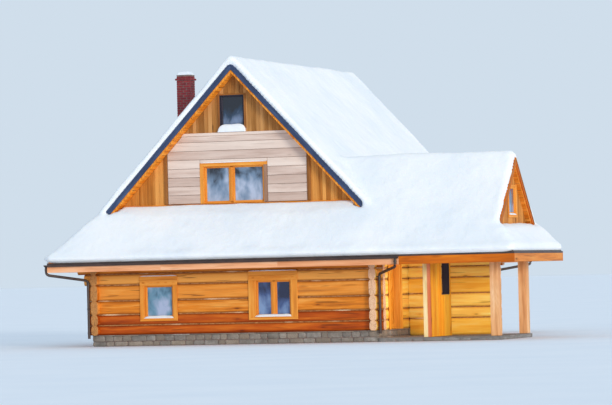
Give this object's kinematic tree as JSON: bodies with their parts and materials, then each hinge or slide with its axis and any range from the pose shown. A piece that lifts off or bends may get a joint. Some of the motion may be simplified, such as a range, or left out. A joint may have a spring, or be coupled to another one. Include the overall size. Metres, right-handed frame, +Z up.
{
  "type": "alpine chalet",
  "caption": "Log chalet with a steep snow-covered roof on a hipped foot, a cross-gabled wing over an open porch, and a hinged entrance door.",
  "frame": {"origin": "centre of the outline in plan, on the ground", "axes": "+Z up, +X to the right of the front along the longest side, +Y from the front towards the rear"},
  "size_m": [15.19, 14.51, 8.9182],
  "materials": {
    "stone": "rough coursed fieldstone",
    "paving_stone": "flagged stone, worn",
    "floor_boards": "planed softwood boards",
    "log_wood": "oiled squared spruce logs",
    "beam_wood": "oiled timber",
    "gable_boards": "oiled vertical boards",
    "pale_boards": "pale limewashed boards",
    "dark_trim": "dark stained timber",
    "roof_boards": "boarded underside",
    "barge_paint": "dark blue-grey painted boards",
    "fascia_wood": "oiled fascia boards",
    "gutter_metal": "dark brown painted steel",
    "brick": "dark red brick with lime joints",
    "trim_wood": "bright oiled joinery",
    "window_glass": "clear window glass",
    "door_wood": "oiled boarded door",
    "dark_iron": "black forged iron",
    "snow": "soft fresh snow"
  },
  "bodies": {
    "house": {"stone_plinth": "stone", "porch_floor": "paving_stone", "ground_floor": "floor_boards", "front_wall": "log_wood", "rear_wall": "log_wood", "left_wall": "log_wood", "right_wall_front": "log_wood", "right_wall_over_door": "log_wood", "right_wall_rear": "log_wood", "porch_back_wall": "log_wood", "porch_screen_wall": "log_wood", "porch_posts": "beam_wood", "porch_beams": "beam_wood", "upper_floor": "floor_boards", "attic_floor": "floor_boards", "wing_floor": "floor_boards", "front_gable": "gable_boards", "rear_gable": "gable_boards", "wing_gable": "gable_boards", "gable_panels": "pale_boards", "gable_posts": "dark_trim", "roof_left": "roof_boards", "roof_right": "roof_boards", "front_pent_roof": "roof_boards", "rear_pent_roof": "roof_boards", "wing_roof_front": "roof_boards", "wing_roof_rear": "roof_boards", "wing_end_roof": "roof_boards", "rafter_tails": "beam_wood", "barge_boards": "barge_paint", "fascia_boards": "fascia_wood", "gutters": "gutter_metal", "downpipes": "gutter_metal", "chimney": "brick", "front_windows": "trim_wood", "left_windows": "trim_wood", "rear_windows": "trim_wood", "right_windows": "trim_wood", "gable_windows": "trim_wood", "ground_floor_glass": "window_glass", "upper_glass": "window_glass", "door_frame": "trim_wood", "snow_left_slope": "snow", "snow_right_slope": "snow", "snow_front_slope": "snow", "snow_rear_slope": "snow", "snow_wing": "snow"},
    "door": {"entrance_door": "door_wood", "door_fittings": "dark_iron"}
  },
  "joints": [
    {"name": "entrance_hinge", "type": "hinge", "parent": "house", "child": "door", "pos_m": [2.709, -3.887, 0.35], "axis": [0, 0, -1], "range_deg": [0, 95]}
  ]
}
